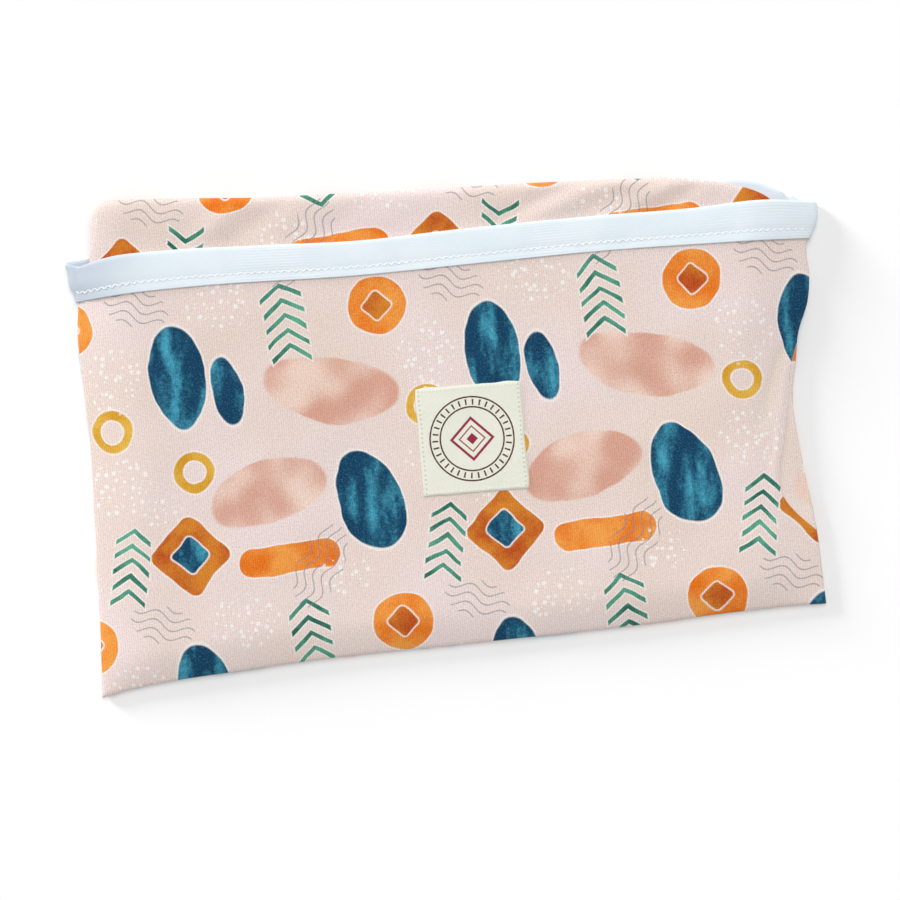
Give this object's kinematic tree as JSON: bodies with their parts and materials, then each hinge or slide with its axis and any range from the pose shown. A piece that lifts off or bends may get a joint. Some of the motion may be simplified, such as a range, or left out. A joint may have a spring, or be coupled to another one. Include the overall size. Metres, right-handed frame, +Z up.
{
  "type": "changing pad cover",
  "caption": "Stretch jersey changing pad cover folded flat and tucked into its own end pocket, whose mouth is bound with white elastic.",
  "frame": {"origin": "centre of the folded cover's box, on the table it lies on", "axes": "+X along the pocket's mouth, +Y out of the mouth, +Z up from the table"},
  "size_m": [0.3579, 0.2343, 0.0142],
  "materials": {
    "printed_jersey": "brushed stretch jersey, blush ground with a scattered watercolour print",
    "white_elastic": "ribbed matt fold-over elastic",
    "white_thread": "spun polyester thread",
    "cream_label": "plain woven cotton tape"
  },
  "bodies": {
    "pocket_back": {"pocket_back_panel": "printed_jersey", "pocket_foot_fold": "printed_jersey", "pocket_left_fold": "printed_jersey", "pocket_right_fold": "printed_jersey", "left_corner_seam": "printed_jersey", "right_corner_seam": "printed_jersey", "elastic_back_run": "white_elastic", "elastic_back_stitching": "white_thread", "elastic_left_turn": "white_elastic", "elastic_right_turn": "white_elastic"},
    "pocket_front": {"pocket_front_panel": "printed_jersey", "elastic_front_run": "white_elastic", "elastic_front_stitching": "white_thread", "woven_label": "cream_label", "label_top_stitching": "white_thread", "label_bottom_stitching": "white_thread"},
    "bundle": {"bundle_turned_rim": "printed_jersey", "bundle_face_ply": "printed_jersey", "bundle_upper_fold": "printed_jersey", "bundle_middle_fold": "printed_jersey", "bundle_lower_fold": "printed_jersey", "bundle_back_ply": "printed_jersey", "bundle_left_elastic": "white_elastic", "bundle_right_elastic": "white_elastic"}
  },
  "joints": [
    {"name": "mouth_opens", "type": "hinge", "parent": "pocket_back", "child": "pocket_front", "pos_m": [-0.0053, -0.1076, 0.0027], "axis": [0.9989, 0.046, 0], "range_deg": [0, 18]},
    {"name": "bundle_pulls_out", "type": "slide", "parent": "pocket_back", "child": "bundle", "axis": [0, 1, 0], "range_m": [0, 0.15]}
  ]
}
